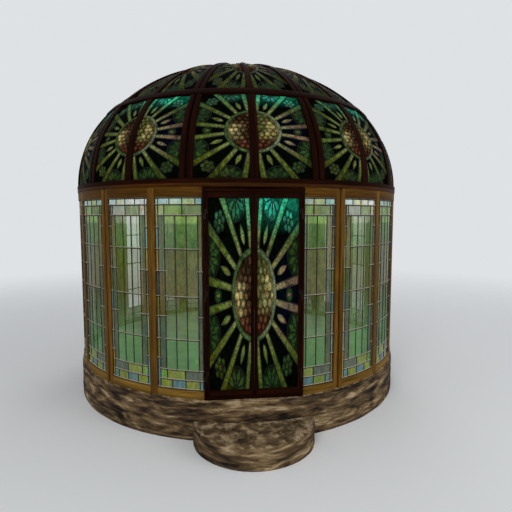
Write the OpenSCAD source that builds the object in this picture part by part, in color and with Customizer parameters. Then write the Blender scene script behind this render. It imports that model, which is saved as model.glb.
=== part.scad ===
// Glass gazebo: a round glazed room with a ribbed glass dome and a pair of doors.
// Millimetres. The door faces -Y, Z is up and the room's axis is the Z axis.

/* [Base] */
// How far the round stone base stands out from the wall
base_proud = 25; // [24:1:60]
// Height of the stone base above the ground
base_h = 420; // [250:5:600]
// Chamfer on the top edge of the base and the step
stone_chamfer = 12; // [2:1:30]
// Radius of the round step
step_r = 615; // [500:5:800]
// Height of the step above the ground
step_h = 200; // [120:5:240]
// How far the step's centre lies inside the edge of the base
step_set = 95; // [0:5:200]
// Thickness of the floor slab
floor_t = 30; // [15:1:60]

/* [Wall] */
// Outer radius of the glazed wall
wall_r = 2100; // [1700:10:2500]
// Thickness of the wall frame, along the radius
wall_t = 70; // [50:1:100]
// Height of the wall frame, from the base to the underside of the plate
wall_h = 2085; // [1950:5:2300]
// Width of the double post between two bays
joint_post_w = 122; // [100:1:180]
// Width of the groove down the middle of a double post
groove_w = 26; // [8:1:40]
// Depth of the grooves in posts and ribs
groove_d = 30; // [5:1:40]
// Width of the single post in the middle of a bay
mid_post_w = 84; // [60:1:120]
// Height of the rail under the lights
sill_rail_h = 80; // [50:1:120]
// Height of the rail over the lights
head_rail_h = 95; // [60:1:140]
// Thickness of the wall lights
wall_glass_t = 12; // [6:0.5:20]
// How far the wall lights lie behind the face of the posts
wall_glass_inset = 10; // [8:0.5:20]
// Width of the main lead cames in the wall lights
came_w = 11; // [6:0.5:16]
// How far the lead cames stand out from the glass
came_proud = 3; // [1:0.5:6]
// Turn of the wall bays against the doorway, in degrees
bay_turn = 25.5; // [24:0.5:27]
// Height of the ring plate on top of the wall
plate_h = 35; // [20:1:60]
// How far the plate stands out from the wall
plate_proud = 5; // [2:1:12]

/* [Dome] */
// Height of the curb that the dome stands on
curb_h = 45; // [30:1:70]
// Thickness of the curb, along the radius
curb_t = 78; // [60:1:100]
// How far the curb, the tier ring and the crown stand out from the dome
dome_proud = 6; // [2:1:15]
// Height of the dome's springing above the foot of the curb
spring_h = 20; // [5:1:30]
// Radius of the lower tier's curve
lower_r = 1310; // [1200:5:1450]
// Depth of the dome's ribs
rib_d = 60; // [40:1:80]
// Width of the main ribs at the springing
main_rib_w = 140; // [100:1:170]
// Width of the groove down the middle of a main rib
rib_groove_w = 18; // [6:1:30]
// Width of the middle ribs at the springing
mid_rib_w = 90; // [60:1:120]
// Thickness of the dome's glass
dome_glass_t = 12; // [6:0.5:20]
// How far the dome's glass lies below the face of the ribs
dome_glass_inset = 18; // [8:1:26]
// Width of the tier ring, along the slope
ring_w = 90; // [60:1:130]
// Depth of the tier ring, into the dome
ring_d = 72; // [50:1:100]
// Radius of the crown that the upper ribs meet
crown_r = 200; // [140:5:300]
// Thickness of the crown at its rim
crown_t = 76; // [65:1:110]

/* [Doors] */
// Width of the door frame, as a share of the wall's radius
door_w_share = 0.47; // [0.44:0.005:0.48]
// Depth of the door frame, front to back
door_depth = 150; // [130:1:200]
// How far the door frame's face lies inside the wall's radius
door_set = 35; // [30:1:50]
// Width of the jambs
jamb_w = 24; // [22:1:40]
// Height of the door head
door_head_h = 45; // [30:1:70]
// Height of the threshold
threshold_h = 30; // [15:1:45]
// Thickness of the door leaves
leaf_t = 44; // [30:1:55]
// Gap round the door leaves
leaf_gap = 5; // [5:0.5:8]
// How far the door stops stand into the doorway
stop_w = 16; // [10:1:22]
// Thickness of the door stops
stop_t = 14; // [8:1:24]
// Gap between the closed leaves and the door stops
stop_gap = 3; // [2:0.5:6]
// How much the meeting edges lean back from the face
meet_bevel = 4; // [3:0.5:8]
// Width of the hinge stiles
hinge_stile_w = 28; // [24:1:60]
// Width of the meeting stiles
meet_stile_w = 30; // [22:1:50]
// Height of the leaves' top rails
leaf_top_h = 58; // [40:1:100]
// Height of the leaves' bottom rails
leaf_bottom_h = 62; // [40:1:140]
// Thickness of the doors' glass
door_glass_t = 10; // [6:0.5:16]
// How far the doors' glass lies behind the face of the leaves
door_glass_inset = 12; // [6:1:18]

/* [Hinges] */
// Radius of the hinge barrels
barrel_r = 7.5; // [6.5:0.1:7.6]
// Length of each half of a hinge barrel
barrel_l = 50; // [30:1:80]
// Radius of the hinge pins
pin_r = 4; // [3:0.1:5]
// Running clearance round the hinge pins
pin_clear = 0.1; // [0.05:0.01:0.2]
// Distance of the hinge pins from the face of the leaves
pin_out = 8; // [8:0.1:10]
// Width of the hinge plates, from the pin
hinge_plate_w = 20; // [14:1:24]
// Thickness of the hinge plates
hinge_plate_t = 3; // [2:0.1:4]
// Distance of the end hinges from the ends of a leaf
hinge_end = 210; // [120:5:400]

/* [Hidden] */
$fn = 360;
// Seating gap between fixed pieces
bed = 0.3;
// Overrun of the cutting shapes
cut = 5;
bays = 10;
bay_deg = 360 / bays;
half_deg = bay_deg / 2;
tier_deg = 45;
full_turn = 360;
door_deg = 90;

base_r = wall_r + base_proud;
step_y = base_r - step_set;
wall_z = base_h;
plate_z = wall_z + wall_h;
curb_z = plate_z + plate_h;
spring_z = curb_z + spring_h;
light_z = wall_z + sill_rail_h;
light_h = wall_h - sill_rail_h - head_rail_h;
wall_in = wall_r - wall_t;

function arc_deg(w, r) = w / r * 180 / PI;
joint_deg = arc_deg(joint_post_w, wall_r);
groove_deg = arc_deg(groove_w, wall_r);
mid_deg = arc_deg(mid_post_w, wall_r);
main_rib_deg = arc_deg(main_rib_w, wall_r);
rib_groove_deg = arc_deg(rib_groove_w, wall_r);
mid_rib_deg = arc_deg(mid_rib_w, wall_r);
bed_deg = arc_deg(bed, wall_in);
post_top = plate_z - bed;
joint_side = joint_deg / 2 + bed_deg;
mid_side = mid_deg / 2 + bed_deg;

glass_out = wall_r - wall_glass_inset;
glass_in = glass_out - wall_glass_t;
glass_z = light_z + bed;
glass_h = light_h - 2 * bed;
came_deg = arc_deg(came_w, glass_out);
// Where the main cames of a light lie, from its left edge and from its head
came_columns = [0, 0.063, 0.186, 0.395, 0.605, 0.814, 0.937, 1];
came_rows = [0, 0.038, 0.093, 0.265, 0.51, 0.735, 0.897, 0.949, 1];
// The panes between them: left and right column, upper and lower row
main_panes = [
    [0, 1, 0, 1], [1, 7, 0, 1], [1, 2, 1, 2], [2, 6, 1, 2], [0, 1, 1, 8], [6, 7, 1, 8],
    [1, 2, 2, 6], [5, 6, 2, 6], [1, 6, 6, 7], [1, 6, 7, 8],
    for (column = [2:4], row = [2:5]) [column, column + 1, row, row + 1]
];

lower_x = wall_r - lower_r;
tier_x = lower_x + lower_r * cos(tier_deg);
tier_z = spring_z + lower_r * sin(tier_deg);
upper_r = tier_x / sin(tier_deg);
upper_z = tier_z - upper_r * cos(tier_deg);
crown_edge_z = upper_z + sqrt(upper_r * upper_r - crown_r * crown_r);

door_w = wall_r * door_w_share;
door_y = wall_r - door_set;
door_half = door_w / 2;
door_in_y = door_y - door_depth;
jamb_x = door_half - jamb_w;
leaf_x = jamb_x - leaf_gap;
meet_x = leaf_gap / 2;
leaf_z = base_h + threshold_h + leaf_gap;
leaf_h = wall_h - threshold_h - door_head_h - 2 * leaf_gap;
pane_x0 = meet_x + meet_stile_w;
pane_x1 = leaf_x - hinge_stile_w;
pane_z = leaf_z + leaf_bottom_h;
pane_h = leaf_h - leaf_bottom_h - leaf_top_h;
leaf_back_y = door_y - leaf_t;
stop_y = leaf_back_y - stop_gap;
stop_x = jamb_x - bed - stop_w;
stop_z = base_h + threshold_h + bed;
stop_top = plate_z - door_head_h - bed;
pin_x = leaf_x + leaf_gap / 2;
pin_y = door_y + pin_out;
hinge_zs = [
    leaf_z + hinge_end,
    leaf_z + leaf_h / 2,
    leaf_z + leaf_h - hinge_end
];

// A section of radius and height swept between two angles from the doorway
module sector(from, to) {
    rotate([0, 0, from - door_deg])
        rotate_extrude(angle = to - from)
            children();
}

// A rectangle between two radii and two heights
module band(r0, r1, z0, z1) {
    translate([r0, z0])
        square([r1 - r0, z1 - z0]);
}

// A round drum with a chamfered top edge
module drum(r, h) {
    rotate_extrude()
        polygon([
            [0, 0],
            [r, 0],
            [r, h - stone_chamfer],
            [r - stone_chamfer, h],
            [0, h]
        ]);
}

module stone_base() {
    color("#5a4a38")
        drum(base_r, base_h);
}

module entrance_step() {
    color("#5a4a38")
        difference() {
            translate([0, -step_y, 0])
                drum(step_r, step_h);
            translate([0, 0, -cut])
                cylinder(r = base_r + bed, h = step_h + 2 * cut);
        }
}

module floor_slab() {
    color("#8a8270")
        difference() {
            translate([0, 0, base_h])
                cylinder(r = wall_in - bed, h = floor_t);
            translate([-door_half - bed, -base_r, base_h - cut])
                cube([door_w + 2 * bed, base_r - door_in_y + bed, floor_t + 2 * cut]);
        }
}

// The angles of the posts that stand clear of the doorway
joint_at = [for (i = [0 : bays - 2]) bay_turn + i * bay_deg];
mid_at = [for (i = [0 : bays - 2]) bay_turn + half_deg + i * bay_deg];

module joint_posts() {
    color("#6e4a1e")
        for (a = joint_at)
            difference() {
                sector(a - joint_deg / 2, a + joint_deg / 2)
                    band(wall_in, wall_r, wall_z, post_top);
                sector(a - groove_deg / 2, a + groove_deg / 2)
                    band(wall_r - groove_d, wall_r + cut, wall_z - cut, plate_z + cut);
            }
}

module mid_posts() {
    color("#6e4a1e")
        for (a = mid_at)
            sector(a - mid_deg / 2, a + mid_deg / 2)
                band(wall_in, wall_r, wall_z, post_top);
}

// The strip of wall beside the doorway on one side, cut off flat along the jamb
module beside_door(side) {
    difference() {
        children();
        translate([side > 0 ? -wall_r : -door_half - bed, -base_r, 0])
            cube([wall_r + door_half + bed, base_r, plate_z + cut]);
    }
}

// The wall's pieces between the posts of one bay, counted from the doorway's right
module in_bay(bay, r0, r1, z0, z1) {
    start = bay_turn + (bay - 1) * bay_deg;
    middle = start + half_deg;
    if (bay < bays) {
        sector(start + joint_side, middle - mid_side)
            band(r0, r1, z0, z1);
    }
    if (bay < bays - 1) {
        sector(middle + mid_side, start + bay_deg - joint_side)
            band(r0, r1, z0, z1);
    }
    if (bay == bays - 1) {
        beside_door(-1)
            sector(middle + mid_side, full_turn)
                band(r0, r1, z0, z1);
    }
    if (bay == bays) {
        beside_door(1)
            sector(0, bay_turn - joint_side)
                band(r0, r1, z0, z1);
    }
}

module sill_rails() {
    color("#875f26")
        for (bay = [1 : bays])
            in_bay(bay, wall_in, wall_r, wall_z, light_z);
}

module head_rails() {
    color("#5f441c")
        for (bay = [1 : bays])
            in_bay(bay, wall_in, wall_r, light_z + light_h, post_top);
}

// Half a came beside a pane, or a whole one at the light's own edge
function came_share(place) = place == 0 || place == 1 ? 1 : 0.5;

// One leaded light between two angles: a curved lattice of cames with the panes let into it
module leaded_light(from, to, mirrored) {
    span = to - from;
    difference() {
        sector(from, to)
            band(glass_in - came_proud, glass_out + came_proud, glass_z, glass_z + glass_h);
        for (pane = main_panes) {
            left = came_columns[pane[0]];
            right = came_columns[pane[1]];
            head = came_rows[pane[2]];
            foot = came_rows[pane[3]];
            low = mirrored ? 1 - right : left;
            high = mirrored ? 1 - left : right;
            start = from + span * low + came_deg * came_share(low);
            end = from + span * high - came_deg * came_share(high);
            pane_z = glass_z + glass_h * (1 - foot) + came_w * came_share(foot);
            pane_top = glass_z + glass_h * (1 - head) - came_w * came_share(head);
            sector(start, end) {
                band(glass_out, glass_out + 2 * came_proud, pane_z, pane_top);
                band(glass_in - 2 * came_proud, glass_in, pane_z, pane_top);
            }
        }
    }
}

// The lights of one bay are mirrored about its middle post, and the doorway cuts two lights off
module wall_glass(bay) {
    start = bay_turn + (bay - 1) * bay_deg;
    middle = start + half_deg;
    color("#a8b89a", 0.5) {
        if (bay < bays)
            leaded_light(start + joint_side, middle - mid_side, true);
        if (bay < bays - 1)
            leaded_light(middle + mid_side, start + bay_deg - joint_side, false);
        if (bay == bays - 1)
            beside_door(-1)
                leaded_light(middle + mid_side, start + bay_deg - joint_side, false);
        if (bay == bays)
            beside_door(1)
                leaded_light(bay_turn - half_deg + mid_side, bay_turn - joint_side, false);
    }
}

module wall_plate() {
    color("#3f2005")
        rotate_extrude()
            band(wall_in, wall_r + plate_proud, plate_z, curb_z);
}

module dome_curb() {
    color("#2a0f0b")
        rotate_extrude()
            band(wall_r + dome_proud - curb_t, wall_r + dome_proud, curb_z, curb_z + curb_h);
}

// The section of the tier ring, grown by a gap
module ring_section(gap) {
    translate([tier_x, tier_z])
        rotate(tier_deg)
            translate([dome_proud - ring_d - gap, -ring_w / 2 - gap])
                square([ring_d + 2 * gap, ring_w + 2 * gap]);
}

// The section of a curved skin of the lower tier between two depths
module lower_section(outer, inner) {
    difference() {
        translate([lower_x, spring_z])
            intersection() {
                difference() {
                    circle(r = lower_r - outer);
                    circle(r = lower_r - inner);
                }
                polygon([[0, 0], [lower_r * 2, 0], [lower_r * 2, lower_r * 2]]);
            }
        ring_section(bed);
        band(0, wall_r * 2, curb_z, curb_z + curb_h + bed);
    }
}

// The section of a curved skin of the upper tier between two depths
module upper_section(outer, inner) {
    difference() {
        translate([0, upper_z])
            intersection() {
                difference() {
                    circle(r = upper_r - outer);
                    circle(r = upper_r - inner);
                }
                polygon([[0, 0], [upper_r * 2, upper_r * 2], [0, upper_r * 2]]);
            }
        ring_section(bed);
        band(-wall_r, crown_r + bed, 0, upper_z + upper_r * 2);
    }
}

module main_ribs() {
    for (i = [0 : bays - 1])
        difference() {
            rotate([0, 0, half_deg + i * bay_deg])
                sector(-main_rib_deg / 2, main_rib_deg / 2)
                    children(0);
            rotate([0, 0, half_deg + i * bay_deg])
                sector(-rib_groove_deg / 2, rib_groove_deg / 2)
                    children(1);
        }
}

module mid_ribs() {
    for (i = [0 : bays - 1])
        rotate([0, 0, i * bay_deg])
            sector(-mid_rib_deg / 2, mid_rib_deg / 2)
                children();
}

// The lights on both sides of every middle rib
module dome_lights() {
    for (i = [0 : bays - 1])
        rotate([0, 0, i * bay_deg]) {
            sector(mid_rib_deg / 2 + bed_deg, half_deg - main_rib_deg / 2 - bed_deg)
                children();
            sector(main_rib_deg / 2 - half_deg + bed_deg, -mid_rib_deg / 2 - bed_deg)
                children();
        }
}

module lower_main_ribs() {
    color("#2a0f0b")
        main_ribs() {
            lower_section(0, rib_d);
            translate([lower_x, spring_z])
                difference() {
                    circle(r = lower_r + cut);
                    circle(r = lower_r - groove_d);
                    translate([-lower_r * 3, -lower_r * 2])
                        square([lower_r * 3 - lower_x, lower_r * 4]);
                }
        }
}

module upper_main_ribs() {
    color("#2a0f0b")
        main_ribs() {
            upper_section(0, rib_d);
            translate([0, upper_z])
                difference() {
                    circle(r = upper_r + cut);
                    circle(r = upper_r - groove_d);
                    translate([-upper_r * 2, -upper_r * 2])
                        square([upper_r * 2, upper_r * 4]);
                }
        }
}

module lower_mid_ribs() {
    color("#2a0f0b")
        mid_ribs()
            lower_section(0, rib_d);
}

module upper_mid_ribs() {
    color("#2a0f0b")
        mid_ribs()
            upper_section(0, rib_d);
}

module tier_ring() {
    color("#2a0f0b")
        rotate_extrude()
            ring_section(0);
}

module dome_crown() {
    color("#2a0f0b")
        rotate_extrude()
            intersection() {
                translate([0, upper_z])
                    circle(r = upper_r + dome_proud);
                band(0, crown_r, crown_edge_z - crown_t, upper_z + upper_r * 2);
            }
}

module lower_dome_glass() {
    color("#2c4a32", 0.8)
        dome_lights()
            lower_section(dome_glass_inset, dome_glass_inset + dome_glass_t);
}

module upper_dome_glass() {
    color("#2c4a32", 0.8)
        dome_lights()
            upper_section(dome_glass_inset, dome_glass_inset + dome_glass_t);
}

module door_jambs() {
    color("#2a0f0b")
        for (side = [-1, 1])
            translate([side > 0 ? jamb_x : -door_half, -door_y, base_h])
                cube([jamb_w, door_depth, wall_h]);
}

module door_head() {
    color("#2a0f0b")
        translate([-jamb_x, -door_y, plate_z - door_head_h])
            cube([2 * jamb_x, door_depth, door_head_h]);
}

module door_threshold() {
    color("#2a0f0b")
        translate([-jamb_x, -door_y, base_h])
            cube([2 * jamb_x, door_depth, threshold_h]);
}

// The beads inside the frame that the closed leaves come up against
module door_stops() {
    color("#2a0f0b") {
        for (side = [-1, 1])
            on_side(side)
                translate([stop_x, -stop_y, stop_z])
                    cube([stop_w, stop_t, stop_top - stop_z]);
        translate([bed - stop_x, -stop_y, stop_top - stop_w])
            cube([2 * (stop_x - bed), stop_t, stop_w]);
    }
}

// The right-hand pieces as they are, or turned over to the left
module on_side(side) {
    mirror([side < 0 ? 1 : 0, 0, 0])
        children();
}

module leaf_stiles(side) {
    color("#2a0f0b")
        on_side(side) {
            translate([pane_x1, -door_y, leaf_z])
                cube([hinge_stile_w, leaf_t, leaf_h]);
            translate([0, 0, leaf_z])
                linear_extrude(height = leaf_h)
                    polygon([
                        [meet_x, -door_y],
                        [pane_x0, -door_y],
                        [pane_x0, -leaf_back_y],
                        [meet_x + meet_bevel, -leaf_back_y]
                    ]);
        }
}

module leaf_rails(side) {
    color("#2a0f0b")
        on_side(side) {
            translate([pane_x0, -door_y, leaf_z])
                cube([pane_x1 - pane_x0, leaf_t, leaf_bottom_h]);
            translate([pane_x0, -door_y, pane_z + pane_h])
                cube([pane_x1 - pane_x0, leaf_t, leaf_top_h]);
        }
}

module leaf_glass(side) {
    color("#2c4a32", 0.8)
        on_side(side)
            translate([pane_x0, door_glass_inset - door_y, pane_z])
                cube([pane_x1 - pane_x0, door_glass_t, pane_h]);
}

// The lower half of every hinge, with its pin, on the jambs
module hinge_pins() {
    color("#3a2c18")
        for (side = [-1, 1])
            on_side(side)
                for (z = hinge_zs) {
                    translate([pin_x, -pin_y, z - barrel_l])
                        cylinder(r = barrel_r, h = barrel_l);
                    translate([pin_x, -pin_y, z - barrel_l])
                        cylinder(r = pin_r, h = barrel_l * 2);
                    translate([pin_x, -door_y - hinge_plate_t, z - barrel_l])
                        cube([hinge_plate_w, hinge_plate_t, barrel_l]);
                }
}

// The upper half of every hinge, on the leaf
module leaf_knuckles(side) {
    color("#3a2c18")
        on_side(side)
            for (z = hinge_zs)
                difference() {
                    union() {
                        translate([pin_x, -pin_y, z + bed])
                            cylinder(r = barrel_r, h = barrel_l - bed);
                        translate([pin_x - hinge_plate_w, -door_y - hinge_plate_t, z + bed])
                            cube([hinge_plate_w, hinge_plate_t, barrel_l - bed]);
                    }
                    translate([pin_x, -pin_y, z - cut])
                        cylinder(r = pin_r + pin_clear, h = barrel_l + 2 * cut);
                }
}

stone_base();
entrance_step();
floor_slab();
joint_posts();
mid_posts();
sill_rails();
head_rails();
wall_plate();
wall_glass(1);  // wall_glass_1
wall_glass(2);  // wall_glass_2
wall_glass(3);  // wall_glass_3
wall_glass(4);  // wall_glass_4
wall_glass(5);  // wall_glass_5
wall_glass(6);  // wall_glass_6
wall_glass(7);  // wall_glass_7
wall_glass(8);  // wall_glass_8
wall_glass(9);  // wall_glass_9
wall_glass(10);  // wall_glass_10
dome_curb();
lower_main_ribs();
lower_mid_ribs();
tier_ring();
upper_main_ribs();
upper_mid_ribs();
dome_crown();
lower_dome_glass();
upper_dome_glass();
door_jambs();
door_head();
door_threshold();
door_stops();
hinge_pins();
leaf_stiles(-1);  // left_leaf_stiles
leaf_rails(-1);  // left_leaf_rails
leaf_glass(-1);  // left_leaf_glass
leaf_knuckles(-1);  // left_leaf_knuckles
leaf_stiles(1);  // right_leaf_stiles
leaf_rails(1);  // right_leaf_rails
leaf_glass(1);  // right_leaf_glass
leaf_knuckles(1);  // right_leaf_knuckles
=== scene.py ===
import math

import bmesh
import bpy
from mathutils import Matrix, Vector, noise


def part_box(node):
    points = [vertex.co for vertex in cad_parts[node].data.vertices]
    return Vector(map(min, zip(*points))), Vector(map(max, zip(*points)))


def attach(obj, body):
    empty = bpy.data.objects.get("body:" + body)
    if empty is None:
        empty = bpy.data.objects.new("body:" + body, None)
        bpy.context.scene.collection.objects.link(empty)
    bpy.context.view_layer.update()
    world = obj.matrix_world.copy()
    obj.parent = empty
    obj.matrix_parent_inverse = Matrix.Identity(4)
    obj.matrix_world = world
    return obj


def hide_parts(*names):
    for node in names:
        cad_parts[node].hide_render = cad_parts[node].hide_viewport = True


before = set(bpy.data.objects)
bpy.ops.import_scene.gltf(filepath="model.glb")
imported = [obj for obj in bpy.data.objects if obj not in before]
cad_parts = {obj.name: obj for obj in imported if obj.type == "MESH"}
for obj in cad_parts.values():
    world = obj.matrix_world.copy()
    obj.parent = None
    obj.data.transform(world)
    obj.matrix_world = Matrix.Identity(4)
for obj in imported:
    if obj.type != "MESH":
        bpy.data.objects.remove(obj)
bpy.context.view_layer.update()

MM = 0.001
TURN = math.radians

# The wall's sizes, as the solids have them
WALL_R = 2100 * MM
GLASS_R = 2084 * MM
LIGHT_FOOT = 500.3 * MM
LIGHT_TOP = 2409.7 * MM
BAYS = 10
BAY_DEG = 360 / BAYS
FIRST_JOINT_DEG = 25.5
# Half of a double post and of a middle post, and where the glass meets the jambs
JOINT_HALF_DEG = math.degrees(61 / 2100)
MID_HALF_DEG = math.degrees(42 / 2100)
JAMB_OUT = 493.8 * MM
JAMB_DEG = math.degrees(math.asin(JAMB_OUT / GLASS_R))

# The dome's curves: the lower tier springs from a ring, the upper one is part of a ball
SPRING_Z = 2560 * MM
LOWER_R = 1310 * MM
LOWER_X = WALL_R - LOWER_R
TIER_DEG = 45
UPPER_R = (LOWER_X + LOWER_R * math.cos(TURN(TIER_DEG))) / math.sin(TURN(TIER_DEG))
UPPER_Z = SPRING_Z + LOWER_R * math.sin(TURN(TIER_DEG)) - UPPER_R * math.cos(TURN(TIER_DEG))
DOME_GLASS_DEPTH = 24 * MM
# Half of each rib at the springing, and where curb, tier ring and crown end the glass
MAIN_RIB_HALF_DEG = math.degrees(70 / 2100)
MID_RIB_HALF_DEG = math.degrees(45 / 2100)
LOWER_FOOT_DEG = math.degrees(25 / 1310)
LOWER_HEAD_DEG = TIER_DEG - math.degrees(45 / 1310)
UPPER_FOOT_DEG = TIER_DEG + math.degrees(45 / 2427)
UPPER_HEAD_DEG = math.degrees(math.acos(200 / 2403))

# The doors' panes
PANE_OUT = 436.5 * MM
PANE_IN = 32.5 * MM
PANE_FOOT = 517 * MM
PANE_TOP = 2397 * MM
PANE_Y = -2048 * MM

# The gap between the leaves, and the bead that closes it, with its middle 9 mm behind their face
LEAF_GAP = 5 * MM
BEAD_Y = -2056 * MM
BEAD_HALF = 5 * MM
BEAD_END = 4 * MM
BEAD_CLEAR = 0.6 * MM

# Cames, the drops of solder on them as shares of their radius, and the step between layers of stained glass
WALL_CAME_R = 6.2 * MM
LEVEL_CAME_R = 8 * MM
STAINED_CAME_R = 4 * MM
RAY_CAME_R = 6.5 * MM
SOLDER_SPREAD, SOLDER_RISE = 1.5, 1.1
LIFT = 1.2 * MM

# Curved cames and panes of the wall turn by no more than this between two corners
ARC_STEP_DEG = 1.6

# Seeds for the shade that each bay's glass gets
WALL_SEED, DOME_SEED = 3, 20


def linear(code):
    """An sRGB hex colour as linear red, green and blue."""
    parts = [int(code[i:i + 2], 16) / 255 for i in (1, 3, 5)]
    return tuple(c / 12.92 if c <= 0.04045 else ((c + 0.055) / 1.055) ** 2.4 for c in parts)


def shade(a, b, t):
    """A colour between two linear colours."""
    t = min(1.0, max(0.0, t))
    return tuple(p + (q - p) * t for p, q in zip(a, b))


def ramp_up(low, high, value):
    """0 below low, 1 above high, smooth between."""
    t = min(1.0, max(0.0, (value - low) / (high - low)))
    return t * t * (3 - 2 * t)


def chance(*seeds):
    """A fixed number from 0 to 1 for these seeds."""
    mixed = sum(s * k for s, k in zip(seeds, (12.9898, 78.233, 37.719)))
    return math.modf(abs(math.sin(mixed) * 43758.5453))[0]


# Materials

def add(tree, kind, links=None, stops=(), **settings):
    """Adds a node with its settings. links maps its sockets to other nodes' outputs or to plain values,
    and stops are a ramp's places and colours."""
    node = tree.nodes.new(kind)
    for name, value in settings.items():
        setattr(node, name, value)
    for socket, source in (links or {}).items():
        if isinstance(source, bpy.types.NodeSocket):
            tree.links.new(source, node.inputs[socket])
        else:
            node.inputs[socket].default_value = source
    for number, (place, code) in enumerate(stops):
        ends = node.color_ramp.elements
        end = ends[number] if number < 2 else ends.new(place)
        end.position = place
        end.color = (*linear(code), 1)
    return node


def new_material(name, **sockets):
    """A material with one Principled shader, with these values on its own sockets."""
    material = bpy.data.materials.new(name)
    material.use_nodes = True
    tree = material.node_tree
    tree.nodes.clear()
    shader = add(tree, "ShaderNodeBsdfPrincipled", {k.replace("_", " "): v for k, v in sockets.items()})
    add(tree, "ShaderNodeOutputMaterial", {"Surface": shader.outputs["BSDF"]})
    return material, tree, shader


# The grain that runs around the room starts behind a post at the back
GRAIN_SEAM_DEG = -115.5


def wood(name, dark, middle, pale, grain, roughness, gloss):
    """Planed and oiled timber: streaks along the piece, slow drifts of colour between boards, open pores that
    dull the oil, and edges that are rubbed paler. The grain runs up a post, along a rib, around the room or level."""
    material, tree, shader = new_material(name, Specular_IOR_Level=gloss)
    place = add(tree, "ShaderNodeTexCoord").outputs["Object"]
    split = add(tree, "ShaderNodeSeparateXYZ", {"Vector": place})
    x, y, z = (split.outputs[k] for k in "XYZ")
    if grain == "level":
        across, along, deep = z, x, y
    else:
        # The turn about the room's axis
        back = add(tree, "ShaderNodeVectorRotate", {
            "Vector": place, "Angle": TURN(GRAIN_SEAM_DEG)}, rotation_type="Z_AXIS")
        swung = add(tree, "ShaderNodeSeparateXYZ", {"Vector": back.outputs["Vector"]})
        angle = add(tree, "ShaderNodeMath", {0: swung.outputs["Y"], 1: swung.outputs["X"]}, operation="ARCTAN2")
        arc = add(tree, "ShaderNodeMath", {0: angle.outputs[0], 1: WALL_R}, operation="MULTIPLY").outputs[0]
        flat = add(tree, "ShaderNodeVectorMath", {0: place, 1: (1, 1, 0)}, operation="MULTIPLY")
        reach = add(tree, "ShaderNodeVectorMath", {0: flat.outputs[0]}, operation="LENGTH").outputs["Value"]
        across, along, deep = (z, arc, reach) if grain == "around" else (arc, z, reach)
    grained = add(tree, "ShaderNodeCombineXYZ", {"X": across, "Y": along, "Z": deep}).outputs[0]
    # Streaks 12 mm apart, drawn coarser than real pores so that they show, and 25 times as long
    long_grain = add(tree, "ShaderNodeMapping", {
        "Vector": grained, "Scale": (1, 0.04, 0.04 if grain == "rib" else 0.6)}).outputs[0]
    streaks = add(tree, "ShaderNodeTexNoise", {
        "Vector": long_grain, "Scale": 1 / 0.012, "Detail": 6, "Roughness": 0.66})
    boards = add(tree, "ShaderNodeTexNoise", {"Vector": long_grain, "Scale": 1 / 0.07, "Detail": 2})
    both = add(tree, "ShaderNodeMix", {
        "Factor": 0.45, "A": streaks.outputs["Fac"], "B": boards.outputs["Fac"]}, data_type="FLOAT")
    colour = add(tree, "ShaderNodeValToRGB", {"Fac": both.outputs["Result"]},
                 [(0.34, dark), (0.5, middle), (0.66, pale)]).outputs["Color"]
    # Rubbed edges: where a rounded edge's normal leaves the face's own
    softened = add(tree, "ShaderNodeBevel", {"Radius": 6 * MM}, samples=4).outputs["Normal"]
    own = add(tree, "ShaderNodeNewGeometry").outputs["Normal"]
    lean = add(tree, "ShaderNodeVectorMath", {0: softened, 1: own}, operation="DOT_PRODUCT").outputs["Value"]
    rubbed = add(tree, "ShaderNodeMapRange", {
        "Value": lean, "From Min": 0.99, "From Max": 0.80, "To Max": 0.4}).outputs[0]
    blended = add(tree, "ShaderNodeMix", {"Factor": rubbed, "A": colour, "B": (*linear(pale), 1)}, data_type="RGBA")
    tree.links.new(blended.outputs["Result"], shader.inputs["Base Color"])
    dull = add(tree, "ShaderNodeMapRange", {
        "Value": streaks.outputs["Fac"], "To Min": roughness - 0.12, "To Max": roughness + 0.16}).outputs[0]
    tree.links.new(dull, shader.inputs["Roughness"])
    bump = add(tree, "ShaderNodeBump", {"Height": streaks.outputs["Fac"], "Strength": 0.3, "Distance": 1.2 * MM})
    tree.links.new(bump.outputs[0], shader.inputs["Normal"])
    return material


# Oak posts and rails, oiled a golden brown
golden_oak_upright = wood("golden_oak_upright", "#362207", "#5f4012", "#866120", "upright", 0.55, 0.06)
golden_oak_sill = wood("golden_oak_sill", "#45300c", "#70521c", "#987536", "around", 0.55, 0.05)
golden_oak_head = wood("golden_oak_head", "#301c04", "#503408", "#714e11", "around", 0.55, 0.05)
# The plate is oak with a darker, redder oil
dark_oak = wood("dark_oak", "#1f0e01", "#351a01", "#502b02", "around", 0.55, 0.05)
# Mahogany, stained nearly black
MAHOGANY = ("#0e0402", "#190803", "#2e1108")
mahogany_upright = wood("mahogany_upright", *MAHOGANY, "upright", 0.5, 0.012)
mahogany_rib = wood("mahogany_rib", *MAHOGANY, "rib", 0.5, 0.012)
mahogany_around = wood("mahogany_around", *MAHOGANY, "around", 0.5, 0.012)
mahogany_level = wood("mahogany_level", *MAHOGANY, "level", 0.5, 0.012)


# Beds 530 mm long and streaks of 200 mm, both 4.5 times as flat, moved so that paler stone lies before the door, as
# painted light on the front
BEDS_PER_METRE, STREAKS_PER_METRE, BED_FLATNESS = 1.9, 5.0, 4.5
BED_SHIFT = (2.4, 6.6, 3.3)


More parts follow.
